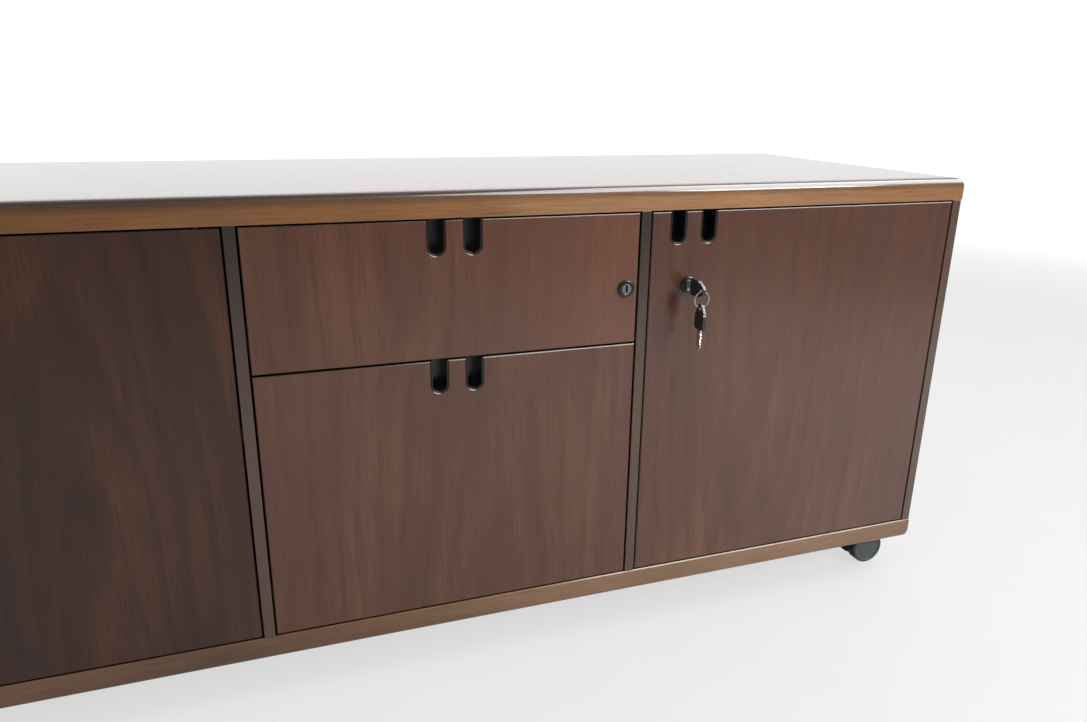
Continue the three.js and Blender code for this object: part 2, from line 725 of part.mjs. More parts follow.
buildBoards();
buildUprights();
for (const door of doors) {
  buildShelf(door);
  buildDoor(door);
}
buildKeys(doors[1].lockX);
buildDrawer('upper', [upperFrontFloor, frontCeiling], drawerLockX);
buildDrawer('lower', [frontFloor, lowerFrontCeiling]);
buildLock('drawer', drawerLockX, drawerCamLength);
for (const [end, y] of [['front', casterInset], ['rear', carcassDepth - casterInset]]) {
  buildCaster(`${end}_left`, casterInset - halfWidth, y);
  buildCaster(`${end}_right`, halfWidth - casterInset, y);
}

export default credenza;
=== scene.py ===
"""Office credenza on casters: finishes, fine pieces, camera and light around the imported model."""
import math

import bmesh
import bpy
from mathutils import Matrix, Vector


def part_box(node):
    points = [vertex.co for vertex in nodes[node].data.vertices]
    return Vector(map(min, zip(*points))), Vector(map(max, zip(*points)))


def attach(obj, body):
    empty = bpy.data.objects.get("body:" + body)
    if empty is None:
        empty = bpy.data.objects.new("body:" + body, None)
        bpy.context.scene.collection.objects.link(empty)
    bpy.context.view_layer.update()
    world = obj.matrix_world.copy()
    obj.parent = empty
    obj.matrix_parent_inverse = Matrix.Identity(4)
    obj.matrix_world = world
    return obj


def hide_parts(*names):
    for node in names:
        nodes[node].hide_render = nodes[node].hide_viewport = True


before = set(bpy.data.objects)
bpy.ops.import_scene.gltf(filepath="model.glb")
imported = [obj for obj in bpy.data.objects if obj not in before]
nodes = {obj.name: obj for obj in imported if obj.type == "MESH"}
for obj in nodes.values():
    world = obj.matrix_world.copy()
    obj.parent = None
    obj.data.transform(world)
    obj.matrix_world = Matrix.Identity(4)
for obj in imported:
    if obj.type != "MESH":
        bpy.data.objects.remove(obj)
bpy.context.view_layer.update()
scene = bpy.context.scene
mm = 0.001
white = (1.0, 1.0, 1.0, 1.0)
black = (0.0, 0.0, 0.0, 1.0)

# Camera: the photograph's view, in metres and in the pixels of its 1087 by 722 frame
photo_width = 1087
focal_pixels = 834.5
sensor_width = 36.0
camera_near = 0.01
camera_place = Vector((-0.2044, -1.0687, 0.6850))
camera_aim = Vector((0.1019, -0.2028, 0.3877))
camera_roll = math.radians(0.8)

# Light, in metres and watts, and the strength of the world in front and behind
key_light_place = Vector((1.45, -1.60, 1.30))
key_light_size = (0.6, 0.6)
key_light_watts = 27.0
window_light_place = Vector((1.5, -0.6, 2.4))
window_light_size = (2.4, 1.0)
window_light_watts = 16.0
card_light_place = Vector((1.7, -0.8, 2.4))
card_light_size = (2.4, 2.4)
card_light_watts = 163.0
fill_light_place = Vector((-0.3, -1.1, 2.8))
fill_light_size = (2.2, 1.6)
fill_light_watts = 36.0
light_aim = Vector((0.3, -0.2, 0.3))
world_front = 0.32
world_back = 0.75
world_turn = 0.5

# Floor, in metres: its paint, its tone for bounced light, its glow for the camera and its fade to white
floor_size = 40.0
floor_colour = (0.63, 0.63, 0.63, 1.0)
floor_worn = (0.59, 0.59, 0.59, 1.0)
floor_roughness = 0.6
floor_sheen = 0.2
speckle_scale = (9, 9, 9)
speckle_detail = 6.0
speckle_roughness = 0.6
speckle_stops = [(0.4, 0.0), (0.75, 1.0)]
floor_bounce = 0.75
floor_glow = 0.66
floor_dim = 1.18
floor_turn = 1.5
fade_start = 2.3
fade_end = 4.4

# Locks, in millimetres
rosette_radius = 10.0
rosette_proud = 3.5
rosette_dome = [(8.6, 0.0), (9.5, 0.35), (rosette_radius, 1.2)]
bore_chamfer = 0.5
seat_chamfer = 0.3
seat_gap = 0.3
barrel_radius = 8.0
barrel_end = 23.0
nut_radius = 11.0
nut_range = (18.0, 21.0)
hexagon_sides = 6
plug_radius = 6.0
plug_setback = 0.6
keyway = (2.4, 9.0, 21.0)
cam_width = 10.0
cam_thickness = 2.5
cam_round = (-30, 210)
cam_corner = 2.0
cam_corner_steps = 8
cam_screw_radius = 0.6 * plug_radius
cam_screw_height = 0.4
lock_arris = 0.25

# Keys, in millimetres, with lengths from the end that has the ring's eye
grip_range = (10.0, 31.0)
grip_width = 20.0
grip_thickness = 4.6
grip_corner = 5.0
grip_rim = 2.6
grip_recess = 0.35
grip_arris = 0.5
eye_radius = 5.5
eye_round = (240, 120)
eye_foot = 9.0
eye_overlap = 0.35
eye_thickness = 4.0
key_hole_radius = 2.5
key_length = 56.0
blade_width = 8.0
blade_thickness = 1.8
blade_arris = 0.2
tip_half = 0.6
notch_depths = (0.9, 1.6, 0.8, 1.3)
notch_floor = 0.6
notch_mouth = 1.9
ring_wire = 0.5
ring_turns = 2.1

# Casters, in millimetres
hood_gap = 1.2
hood_thickness = 2.8
hood_trail_angle = 30.0
hood_steps = 40
hood_arris = 0.9
web_half = 6.0
web_overlap = 1.0
neck_chamfer = 1.0
hub_radius = 8.0
axle_radius = 4.0
wheel_dish = 1.4
wheel_rim = 4.5
rim_slope = 0.8
tread_shoulder = [(2.4, 0.0), (0.7, 0.8), (0.0, 2.6)]
tread_grooves = (5.0, 8.5, 12.0)
groove_profile = [(0.0, 0.0), (0.6, 0.3), (0.6, 1.0), (0.0, 1.3)]
tread_chamfer = 1.0
wheel_arris = 0.25
caster_names = ["front_left", "front_right", "rear_left", "rear_right"]

# Screws, in millimetres, with the form of the head in shares of its height and radius
screw_radius = 3.2
screw_height = 1.1
screw_sides = 24
screw_shoulder = 0.5
screw_crown = 0.82
recess_reach = 0.55
recess_half = 0.16
screw_arris = 0.15
leaf_screw_height = 0.4
leaf_screw_places = (9.0, 29.0)
back_screw_inset = 14.0
back_screw_count = 7
plate_screw_reach = 16.0
plate_thickness = 2.5
drawer_screw_reach = 130.0
drawer_screw_inset = 25.0
box_wall = 1.5

# Facets of turned and rounded pieces, angles of flats and arrises, and millimetres at which points join
fine_sides = 56
arc_steps = 20
sharp_angle = math.radians(38)
flat_angle = math.radians(0.5)
weld_distance = 0.01
join_distance = 0.002


def srgb(red, green, blue):
    """A colour written in 0 to 255 screen values, as the linear colour that a shader takes."""
    def linear(value):
        value /= 255.0
        return value / 12.92 if value <= 0.04045 else ((value + 0.055) / 1.055) ** 2.4
    return (linear(red), linear(green), linear(blue), 1.0)


def shaded(colour, factor):
    """A colour made darker or lighter."""
    return tuple(min(1.0, channel * factor) for channel in colour[:3]) + (1.0,)


def cooled(colour, red_share=0.9, blue_share=1.3):
    """A colour with less red and more blue in it."""
    red, green, blue = colour[:3]
    return (red_share * red, green, blue_share * blue, 1.0)


class Graph:
    """The nodes of a material or of the world, built by short calls."""

    def __init__(self, owner, shader="Principled BSDF"):
        owner.use_nodes = True
        self.owner = owner
        self.tree = owner.node_tree
        self.shader = self.tree.nodes[shader]

    def feed(self, socket, value):
        if isinstance(value, bpy.types.NodeSocket):
            self.tree.links.new(value, socket)
        else:
            socket.default_value = value

    def add(self, kind, inputs, **settings):
        node = self.tree.nodes.new(kind)
        for key, value in settings.items():
            setattr(node, key, value)
        for key, value in inputs.items():
            self.feed(node.inputs[key], value)
        return node

    def surface(self, **inputs):
        for key, value in inputs.items():
            self.feed(self.shader.inputs[key.replace("_", " ")], value)

    def math(self, operation, first, second=0.0):
        return self.add("ShaderNodeMath", {0: first, 1: second}, operation=operation).outputs[0]

    def weighted(self, shares, total):
        """The sum of some values, each times its weight, added to a starting total."""
        for value, weight in shares:
            inputs = {0: value, 1: weight, 2: total}
            total = self.add("ShaderNodeMath", inputs, operation="MULTIPLY_ADD").outputs[0]
        return total

    def uneven(self, value, swing, middle):
        """A level that swings about its middle with a value from 0 to 1."""
        return self.math("ADD", self.math("MULTIPLY", value, swing), middle - 0.5 * swing)

    def place(self, offset=(0, 0, 0), scale=(1, 1, 1), turn=(0, 0, 0)):
        """The point on the object, in its own metres, turned, moved and stretched."""
        point = self.add("ShaderNodeTexCoord", {}).outputs["Object"]
        turned = self.add("ShaderNodeMapping", {"Vector": point, "Location": offset, "Rotation": turn})
        return self.add("ShaderNodeMapping", {"Vector": turned.outputs[0], "Scale": scale}).outputs[0]

    def axis(self, vector, letter):
        return self.add("ShaderNodeSeparateXYZ", {0: vector}).outputs[letter]

    def reach(self, value, start, end, **settings):
        """How far a value has come from the start, which gives 0, to the end, which gives 1."""
        inputs = {"Value": value, "From Min": start, "From Max": end}
        return self.add("ShaderNodeMapRange", inputs, **settings).outputs["Result"]

    def noise(self, vector, detail=2.0, roughness=0.5, distortion=0.0):
        inputs = {"Vector": vector, "Scale": 1.0, "Detail": detail, "Roughness": roughness,
                  "Distortion": distortion}
        return self.add("ShaderNodeTexNoise", inputs).outputs["Fac"]

    def colours(self, value, stops):
        node = self.add("ShaderNodeValToRGB", {"Fac": value})
        elements = node.color_ramp.elements
        while len(elements) < len(stops):
            elements.new(0.5)
        for element, (position, colour) in zip(elements, stops):
            element.position = position
            element.color = colour
        return node.outputs["Color"]

    def ramp(self, value, stops):
        return self.colours(value, [(position, (level, level, level, 1.0)) for position, level in stops])

    def mix(self, factor, first, second):
        node = self.add("ShaderNodeMix", {}, data_type="RGBA")
        self.feed(node.inputs["Factor"], factor)
        self.feed(node.inputs["A"], first)
        self.feed(node.inputs["B"], second)
        return node.outputs["Result"]

    def mottled(self, clouds, stops, colour, factor):
        """A colour with clouds of a darker or lighter shade in it."""
        return self.mix(self.ramp(clouds, stops), colour, shaded(colour, factor))

    def bump(self, height, strength, distance=0.0002):
        inputs = {"Height": height, "Strength": strength, "Distance": distance}
        return self.add("ShaderNodeBump", inputs).outputs["Normal"]


# Ways to lay the grain: the texture's Z runs along it and the texture's X across the shown face
upright_front = (0.0, 0.0, 0.0)
upright_side = (0.0, 0.0, math.radians(-90))
lengthwise = tuple(Matrix(((0, 1, 0), (0, 0, 1), (1, 0, 0))).to_euler("XYZ"))

# Noise of the grain: its stretch in the texture's X, Y and Z, its detail, roughness and distortion
cloud_grain = ((5, 5, 2.6), 4.0, 0.6, 0.3)
wander_grain = ((6, 6, 2.2), 3.0)
patch_grain = ((15, 15, 3.6), 3.0, 0.55, 0.3)
band_grain = ((34, 34, 1.2), 3.0, 0.55, 0.4)
streak_grain = ((420, 420, 15), 5.0, 0.65, 0.25)
fleck_grain = ((900, 900, 26),)
seed_steps = (0.37, 0.53, 0.71)

# Growth rings, in metres, and their tone from one year's early wood to the next
ring_pitch = 0.026
ring_taper = 0.12
ring_wander = 0.07
ring_stops = [(0.0, 0.1), (0.5, 0.35), (0.8, 1.0), (1.0, 0.1)]

# Shares of the grain in the wood's tone, gloss and relief
band_share = 0.22
streak_share = 0.36
ring_share = 0.2
tone_start = 0.21
tone_figure = 0.434
tone_levels = (0.15, 0.5, 0.85)
# Painted light along the grain: its share of the tone and the half length of the object that it spans
painted_light_share = 0.4
painted_light_half_length = 0.7
cloud_stops = [(0.45, 0.0), (0.75, 0.7)]
pore_stops = [(0.56, 0.0), (0.70, 1.0)]
pore_share = 0.35
pore_shade = 0.35
streaked_layer_shades = (0.7, 1.3)
# Facing of the narrow faces over which the painted shade of the gaps sets in
gap_edge_painted_shade_range = (0.9, 0.6)
streak_shine = 0.12
pore_shine = 0.1
streak_relief = 0.5
pore_relief = 0.6
relief_start = 0.5
wood_bump = 0.2

# Where each piece of wood is cut from the trunk: its seed, and the places of heart and apex in metres
front_seed = 1.3
panel_seed = 7.1
board_seed = 13.7
shelf_seed = 17.2
back_seed = 19.9
top_lipping_seed = 23.1
bottom_lipping_seed = 22.4
heart_swing = 0.08
heart_step = 3.0
heart_start = 1.0
front_apexes = (-0.1, 0.75)
board_heart = 0.05
board_apex = 1.2
shelf_apex = -1.0
back_heart = 0.2

# Looks that differ from plain veneer, and painted light along the lippings and up the right door
left_door_look = {"lacquer": (0.6, 0.2), "figure": 0.9}
board_look = {"gloss": 0.22, "lacquer": (1.0, 0.12), "sheen": 0.5}
lipping_look = {"lacquer": (1.0, 0.1), "figure": 0.4}
# Painted light along the lippings, darker at the left end and lighter towards the right
lipping_painted_light = [(0.0, 0.05), (0.3, 0.1), (0.48, 0.45), (0.58, 0.83),
                 (0.79, 1.0), (0.92, 0.7), (1.0, 0.5)]
# Painted shade and painted reflection up the right door: darker at the top, lighter low down where the
# floor reflects
door_painted_light = [(0.57, 0.65), (0.9, 0.2)]

# Stains, painted shade and painted light, with their places in metres: the top's rounded edge, stained
# dark;
# the panels' front edges, and painted shade on the upper ends of the dividers' edges; painted shade in the
# gaps around the fronts and on the sill behind the bottom lipping's chamfer; painted light on the upper
# drawer's right end
crown_stain = srgb(44, 30, 24)
crown_depth = 0.0025
crown_fade = 0.011
edge_stain = srgb(79, 57, 45)
edge_depth = 0.003
# Painted shade on the dividers' front edges, darker towards the top
divider_top_painted_shade = srgb(22, 16, 12)
divider_top_painted_shade_range = (0.32, 0.60)
# Painted shade in the gaps around the fronts and on the sill under them
painted_gap_shade = srgb(20, 14, 11)
gap_depth = 0.018
gap_fade = 0.024
sill_depth = 0.0005
sill_start = 0.0014
sill_end = 0.0024
# Painted light: the upper drawer lighter towards its right end
painted_light_right_end = srgb(112, 65, 42)
painted_light_right_range = (0.0, 0.42)

# Arrises of the woodwork, in millimetres
panel_arris = 0.6
back_arris = 0.5
lipping_chamfer = 1.1


def wood(name, seed, colours, turn=upright_front, centre=0.0, apex=0.8, gloss=0.42, lacquer=(1.0, 0.2),
         sheen=0.15, figure=0.55, painted_light=(), stains_and_painted_light=(), gap_edge_painted_shade=None):
    """Lacquered wood: tone patches, growth rings sliced flat, streaks and pores along the grain.

    The lacquer is the weight and the roughness of the coat. The stops along the grain are painted light
    and shade:
    lighter and darker tone from one end of the object's length to the other. Each stain, or patch of
    painted light or shade, is a colour and the ranges in which it sets in, each an axis and two levels.
    The colour for the narrow faces that don't look to the front or the back is painted shade in the gaps.
    """
    dark, middle = colours[:2]
    g = Graph(bpy.data.materials.new(name))
    offset = tuple(seed * step for step in seed_steps)

    def grain(stretch, *settings):
        return g.noise(g.place(offset, stretch, turn), *settings)

    streaks = grain(*streak_grain)
    pores = g.ramp(grain(*fleck_grain), pore_stops)
    late_wood = growth_rings(g, grain(*wander_grain), g.place((-centre, 0, -apex), turn=turn))
    shares = [(grain(*patch_grain), figure), (grain(*band_grain), band_share), (streaks, streak_share),
              (late_wood, -ring_share * figure)]
    depth = g.weighted(shares, tone_start - tone_figure * figure)
    # Painted light and shade: lighter and darker tone in stops along the grain
    if painted_light:
        along = g.reach(g.axis(g.place(turn=turn), "Z"), -painted_light_half_length, painted_light_half_length)
        depth = g.weighted([(g.ramp(along, painted_light), painted_light_share), (depth, 1.0)], -0.5 * painted_light_share)
    tone = g.colours(depth, list(zip(tone_levels, colours)))
    tone = g.mix(g.ramp(grain(*cloud_grain), cloud_stops), tone, cooled(middle))
    tone = g.mix(g.math("MULTIPLY", pores, pore_share), tone, shaded(dark, pore_shade))
    # Stains, and patches of painted light and shade, each laid in over its ranges
    for colour, ranges in stains_and_painted_light:
        cover = 1.0
        for letter, start, end in ranges:
            cover = g.math("MULTIPLY", cover, g.reach(g.axis(g.place(), letter), start, end))
        darker, lighter = (shaded(colour, factor) for factor in streaked_layer_shades)
        tone = g.mix(cover, tone, g.mix(streaks, darker, lighter))
    # Painted shade on the narrow faces that stand in the gaps
    if gap_edge_painted_shade:
        normal = g.add("ShaderNodeTexCoord", {}).outputs["Normal"]
        facing = g.math("ABSOLUTE", g.axis(normal, "Y"))
        tone = g.mix(g.reach(facing, *gap_edge_painted_shade_range), tone, gap_edge_painted_shade)
    shine = g.weighted([(streaks, streak_shine), (pores, pore_shine)], gloss - 0.5 * streak_shine)
    relief = g.weighted([(pores, -pore_relief), (streaks, streak_relief)], relief_start)
    g.surface(Base_Color=tone, Roughness=shine, Normal=g.bump(relief, wood_bump))
    g.surface(Coat_Weight=lacquer[0], Coat_Roughness=lacquer[1], Specular_IOR_Level=sheen)
    return g.owner


def growth_rings(g, wander, point):
    """Late wood of a flat-sliced trunk: nested long ovals about the apex, thrown off line by noise."""
    along = g.math("POWER", g.math("MULTIPLY", g.axis(point, "Z"), ring_taper), 2.0)
    ring = g.math("SQRT", g.math("ADD", g.math("POWER", g.axis(point, "X"), 2.0), along))
    ring = g.weighted([(ring, 1.0), (wander, ring_wander)], 0.0)
    return g.ramp(g.math("FRACT", g.math("DIVIDE", ring, ring_pitch)), ring_stops)


# Finishes of plastic and metal: scales of their textures, and the clouds and the swing of their gloss
spark_scale = (900, 900, 900)
smear_scale = (35, 35, 35)
smear_detail = 3.0
smear_stops = [(0.3, 0.0), (0.75, 0.35)]
smear_shade = 1.7
smear_gloss = 0.14
drawn_along_x = (40, 2500, 2500)
drawn_along_y = (2500, 30, 2500)
drawn_along_z = (2500, 2500, 60)
drawn_level = (60, 60, 2500)
drawn_detail = 3.0
drawn_gloss = 0.16
drawn_bump = 0.04
tarnish_scale = (60, 60, 60)
tarnish_detail = 4.0
tarnish_stops = [(0.35, 0.0), (0.8, 0.5)]
tarnish_shade = 0.62
peel_scale = (700, 700, 700)
peel_gloss = 0.1
peel_bump = 0.12
coat_scale = (14, 14, 14)
coat_detail = 3.0
coat_stops = [(0.3, 0.0), (0.8, 0.3)]
coat_shade = 0.8


def moulded(name, colour, roughness, relief=0.05):
    """Moulded plastic with a fine spark texture and slightly uneven gloss."""
    g = Graph(bpy.data.materials.new(name))
    sparks = g.noise(g.place(scale=spark_scale))
    clouds = g.noise(g.place(scale=smear_scale), smear_detail)
    shade = g.mottled(clouds, smear_stops, colour, smear_shade)
    shine = g.uneven(clouds, smear_gloss, roughness)
    g.surface(Base_Color=shade, Roughness=shine, Normal=g.bump(sparks, relief))
    return g.owner


def plated(name, colour, roughness, lines):
    """Plated metal with drawn lines and faint tarnish."""
    g = Graph(bpy.data.materials.new(name))
    scratches = g.noise(g.place(scale=lines), drawn_detail)
    clouds = g.noise(g.place(scale=tarnish_scale), tarnish_detail)
    shade = g.mottled(clouds, tarnish_stops, colour, tarnish_shade)
    shine = g.uneven(scratches, drawn_gloss, roughness)
    g.surface(Base_Color=shade, Roughness=shine, Metallic=1.0, Normal=g.bump(scratches, drawn_bump))
    return g.owner


def powder_coat(name, colour, roughness):
    """Painted sheet steel with the fine orange peel of a powder coat."""
    g = Graph(bpy.data.materials.new(name))
    peel = g.noise(g.place(scale=peel_scale))
    clouds = g.noise(g.place(scale=coat_scale), coat_detail)
    shade = g.mottled(clouds, coat_stops, colour, coat_shade)
    shine = g.uneven(peel, peel_gloss, roughness)
    g.surface(Base_Color=shade, Roughness=shine, Normal=g.bump(peel, peel_bump))
    return g.owner


# Dark, middle and light tone of each wood
walnut = (srgb(58, 30, 16), srgb(86, 49, 31), srgb(116, 76, 54))
# The left door's walnut, darker as painted shade for the weaker light at the left end
walnut_with_painted_shade = (srgb(38, 20, 13), srgb(59, 33, 21), srgb(96, 56, 33))
golden = (srgb(84, 51, 20), srgb(132, 88, 48), srgb(177, 135, 98))
worn_golden = (srgb(58, 36, 22), srgb(118, 82, 53), srgb(154, 117, 88))

# Plastics and metals
gloss_black = moulded("gloss_black_plastic", srgb(14, 14, 14), roughness=0.26, relief=0.02)
key_black = moulded("key_black_plastic", srgb(34, 36, 38), roughness=0.2, relief=0.03)
hood_black = moulded("hood_black_nylon", srgb(24, 25, 26), roughness=0.36)
wheel_grey = moulded("wheel_grey_nylon", srgb(70, 74, 76), roughness=0.42)
lock_black = moulded("lock_black", srgb(24, 25, 27), roughness=0.18, relief=0.02)
zinc = plated("zinc_plate", srgb(188, 190, 192), roughness=0.34, lines=drawn_along_y)
runner_black = plated("runner_black_zinc", srgb(66, 68, 70), roughness=0.36, lines=drawn_along_y)
hinge_bronze = plated("hinge_bronze", srgb(84, 76, 66), roughness=0.34, lines=drawn_along_x)
key_nickel = plated("key_nickel", srgb(232, 228, 220), roughness=0.16, lines=drawn_along_z)
plug_nickel = plated("plug_nickel", srgb(134, 134, 132), roughness=0.22, lines=drawn_level)
box_grey = powder_coat("box_grey", srgb(96, 98, 101), roughness=0.45)


def soften(piece, width=0.0, segments=3, clamp=True):
    """Rounds a piece's sharp arrises and shades it smooth with its flats kept flat."""
    piece.data.polygons.foreach_set("use_smooth", [True] * len(piece.data.polygons))
    if width:
        bevel = piece.modifiers.new("arris", "BEVEL")
        bevel.width = width * mm
        bevel.segments = segments
        bevel.limit_method = "ANGLE"
        bevel.angle_limit = sharp_angle
        bevel.use_clamp_overlap = clamp
    split = piece.modifiers.new("sharp_edges", "EDGE_SPLIT")
    split.split_angle = sharp_angle
    weighted = piece.modifiers.new("flats", "WEIGHTED_NORMAL")
    weighted.mode = "FACE_AREA"


def dress(name, material, width=0.0, segments=3, clamp=True):
    """Gives a node of the frame its finish, joins its flat facets and softens it."""
    piece = nodes[name]
    piece.data.materials.clear()
    piece.data.materials.append(material)
    weld = piece.modifiers.new("weld", "WELD")
    weld.merge_threshold = weld_distance * mm
    flat = piece.modifiers.new("flat_faces", "DECIMATE")
    flat.decimate_type = "DISSOLVE"
    flat.angle_limit = flat_angle
    soften(piece, width, segments, clamp)


def box_mm(name):
    """The low and high corners of a node, in millimetres."""
    low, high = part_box(name)
    return Vector(low) / mm, Vector(high) / mm


def about_y(x, z, start=0.0):
    """Places a flat shape in the XZ plane about a line along Y."""
    return lambda a, b, level: Vector((x + a, start + level, z + b)) * mm


def about_z(x, y):
    """Places a flat shape in the XY plane about a line along Z."""
    return lambda a, b, level: Vector((x + a, y + b, level)) * mm


def arc(a, b, radius, start, end, steps=arc_steps):
    """Points on a round stretch from one angle to another, in degrees."""
    angles = [math.radians(start + (end - start) * i / steps) for i in range(steps + 1)]
    return [(a + radius * math.cos(t), b + radius * math.sin(t)) for t in angles]


def circle(a, b, radius, sides=fine_sides):
    return arc(a, b, radius, 0, 360, sides)[:-1]


def rectangle(width, height):
    w, h = width / 2, height / 2
    return [(-w, -h), (w, -h), (w, h), (-w, h)]


def rounded_rectangle(a0, a1, b0, b1, radius, steps=10):
    """A rectangle with round corners."""
    left, right, low, high = a0 + radius, a1 - radius, b0 + radius, b1 - radius
    corners = [(right, low), (right, high), (left, high), (left, low)]
    points = []
    for i, (a, b) in enumerate(corners):
        points += arc(a, b, radius, 90 * i - 90, 90 * i, steps)
    return points


class Solid:
    """A mesh gathered from swept outlines and turned profiles, in millimetres."""

    def __init__(self):
        self.bm = bmesh.new()

    def bridge(self, lower, upper):
        """Joins two closed rows of points by a band of faces."""
        for i in range(len(lower)):
            self.bm.faces.new((lower[i - 1], lower[i], upper[i], upper[i - 1]))

    def sweep(self, outline, place, low, high, holes=()):
        """Carries a flat outline, with any holes in it, from one level to the other."""
        caps = []
        for level in (low, high):
            loops = []
            for loop in (outline, *holes):
                loops.append([self.bm.verts.new(place(a, b, level)) for a, b in loop])
            caps.append(loops)
            if not holes:
                self.bm.faces.new(loops[0])
                continue
            sides = [(loop[i - 1], loop[i]) for loop in loops for i in range(len(loop))]
            edges = [self.bm.edges.new(side) for side in sides]
            bmesh.ops.triangle_fill(self.bm, edges=edges, use_beauty=True)
        for lower, upper in zip(*caps):
            self.bridge(lower, upper)

    def turn(self, profile, place, sides=fine_sides):
        """Turns a profile of (radius, level) points about the axis of its place."""
        rows = []
        for radius, level in profile:
            points = circle(0, 0, radius, sides) if radius else [(0, 0)]
            rows.append([self.bm.verts.new(place(a, b, level)) for a, b in points])
        for lower, upper in zip(rows, rows[1:]):
            for i in range(sides):
                j = (i + 1) % sides
                spots = ((lower, i), (lower, j), (upper, j), (upper, i))
                corners = [row[k % len(row)] for row, k in spots]
                self.bm.faces.new(dict.fromkeys(corners))

    def coil(self, place, radius, wire, turns, spread, steps=48, sides=12):
        """Winds a round wire in close turns about the axis of its place."""
        rows = []
        for i in range(round(turns * steps) + 1):
            angle = 2 * math.pi * i / steps
            level = spread * (i / (turns * steps) - 0.5)
            across, up = math.cos(angle), math.sin(angle)
            section = [(radius + a, level + b) for a, b in circle(0, 0, wire, sides)]
            points = [place(reach * across, reach * up, lift) for reach, lift in section]
            rows.append([self.bm.verts.new(point) for point in points])
        for lower, upper in zip(rows, rows[1:]):
            self.bridge(lower, upper)
        self.bm.faces.new(rows[0])
        self.bm.faces.new(rows[-1])

    def piece(self, name, material, body, slot, *replaced, arris=0.0):
        """Makes the object that rides on a body and stands for the replaced nodes."""
        bmesh.ops.remove_doubles(self.bm, verts=self.bm.verts, dist=join_distance * mm)
        bmesh.ops.recalc_face_normals(self.bm, faces=self.bm.faces)
        mesh = bpy.data.meshes.new(name)
        self.bm.to_mesh(mesh)
        self.bm.free()
        mesh.materials.append(material)
        piece = bpy.data.objects.new(name, mesh)
        scene.collection.objects.link(piece)
        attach(piece, body)
        if replaced:
            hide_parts(*replaced)
        soften(piece, arris)


def dress_fronts():
    """Upright veneer on the doors and the drawer fronts, each cut at another heart, with painted shade on
    their edges.
    """
    fronts = ["door_left", "drawer_upper_front", "drawer_lower_front", "door_right"]
    looks = {
        "door_left": left_door_look,
        # Painted light on the upper drawer, lighter towards its right end
        "drawer_upper_front": {"stains_and_painted_light": [(painted_light_right_end, [("X", *painted_light_right_range)])]},
        # Painted light up the right door, darker at the top
        "door_right": {"painted_light": door_painted_light},
    }
    for seed, name in enumerate(fronts):
        low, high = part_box(name)
        heart = 0.5 * (low[0] + high[0]) + heart_swing * math.sin(heart_step * seed + heart_start)
        apex = front_apexes[seed % 2]
        # The left door takes the darker walnut, painted shade
        colours = walnut_with_painted_shade if name == "door_left" else walnut
        # Painted shade on the fronts' edges, in the gaps between them
        veneer = wood(f"veneer_{name}", seed + front_seed, colours, centre=heart, apex=apex,
                      gap_edge_painted_shade=painted_gap_shade, **looks.get(name, {}))
        dress(name, veneer)


def dress_panels():
    """Veneer on the side panels, the dividers, the boards, the shelves and the back panel."""
    for seed, name in enumerate(["side_panel_left", "side_panel_right", "divider_left", "divider_right"]):
        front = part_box(name)[0][1]
        edge = ("Y", front + edge_depth, front + 0.5 * edge_depth)
        stains_and_painted_light = [(edge_stain, [edge])]
        if name.startswith("divider"):
            # Painted shade on the dividers' faces in the gaps beside the fronts
            stains_and_painted_light.insert(0, (painted_gap_shade, [("Y", front + gap_fade, front + gap_depth)]))
            # Painted shade on the dividers' front edges, darker towards the top
            stains_and_painted_light.append((divider_top_painted_shade, [edge, ("Z", *divider_top_painted_shade_range)]))
        veneer = wood(f"veneer_{name}", seed + panel_seed, walnut, upright_side, stains_and_painted_light=stains_and_painted_light)
        dress(name, veneer, panel_arris)
    for seed, name in enumerate(["top_board", "bottom_board"]):
        veneer = wood(f"veneer_{name}", seed + board_seed, walnut, lengthwise, board_heart, board_apex,
                      **board_look)
        dress(name, veneer)
    for seed, name in enumerate(["shelf_left", "shelf_right"]):
        veneer = wood(f"veneer_{name}", seed + shelf_seed, walnut, lengthwise, apex=shelf_apex)
        dress(name, veneer, panel_arris)
    dress("back_panel", wood("veneer_back_panel", back_seed, walnut, centre=back_heart), back_arris)


def dress_lippings():
    """Chamfered lippings with painted light along them, the upper round stained dark and painted shade on
    the lower sill.
    """
    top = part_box("top_lipping")[1][2] - crown_depth
    crown = [("Z", top - crown_fade, top)]
    low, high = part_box("bottom_lipping")
    # Painted shade on the sill in the gap under the fronts
    sill = [("Z", high[2] - sill_depth, high[2]), ("Y", low[1] + sill_start, low[1] + sill_end)]
    lippings = [("top_lipping", top_lipping_seed, golden, (crown_stain, crown)),
                ("bottom_lipping", bottom_lipping_seed, worn_golden, (painted_gap_shade, sill))]
    for name, seed, colours, stain_and_painted_shade in lippings:
        solid = wood(f"solid_{name}", seed, colours, lengthwise, painted_light=lipping_painted_light, stains_and_painted_light=[stain_and_painted_shade],
                     **lipping_look)
        dress(name, solid, lipping_chamfer, segments=1, clamp=False)


def dress_hardware():
    """Finishes, with the width of their arrises, on the metal and plastic nodes that keep their shape."""
    finishes = {"_pull_liner": (gloss_black, 0.4), "_leaf": (hinge_bronze, 0.2), "_box": (box_grey, 0.4),
                "_plate": (zinc, 0.4), "_runner_left": (runner_black, 0.3),
                "_runner_right": (runner_black, 0.3)}
    for name in nodes:
        for ending, (material, width) in finishes.items():
            if name.endswith(ending):
                dress(name, material, width)


